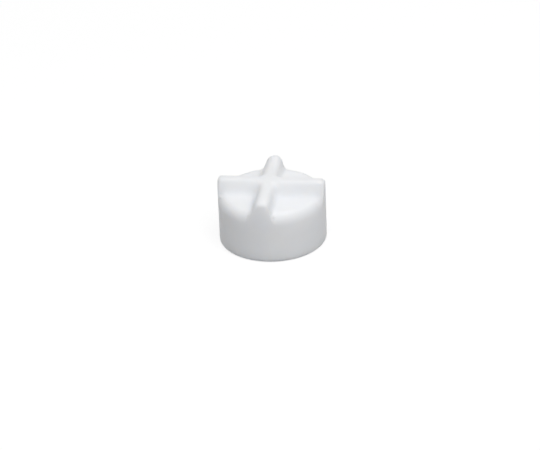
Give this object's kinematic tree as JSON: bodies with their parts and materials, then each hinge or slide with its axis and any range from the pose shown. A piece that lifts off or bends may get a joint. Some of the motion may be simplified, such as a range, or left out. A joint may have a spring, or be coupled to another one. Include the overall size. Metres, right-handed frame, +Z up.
{
  "type": "magnetic stir bar",
  "caption": "White PTFE disc stir bar: a low round body with a crossed pair of raised ribs on top and a sealed bar magnet inside.",
  "frame": {"origin": "middle of the flat bottom on which the disc stands", "axes": "+Z up through the ribs, X along the rib that runs left to right, Y along the one that runs front to back, -Y to the front"},
  "size_m": [0.025, 0.025, 0.0154],
  "materials": {
    "ptfe": "white moulded PTFE, satin to waxy, slightly translucent at its edges",
    "magnet_metal": "ground grey magnet alloy"
  },
  "bodies": {
    "root": {"ptfe_jacket": "ptfe", "magnet": "magnet_metal"}
  },
  "joints": []
}
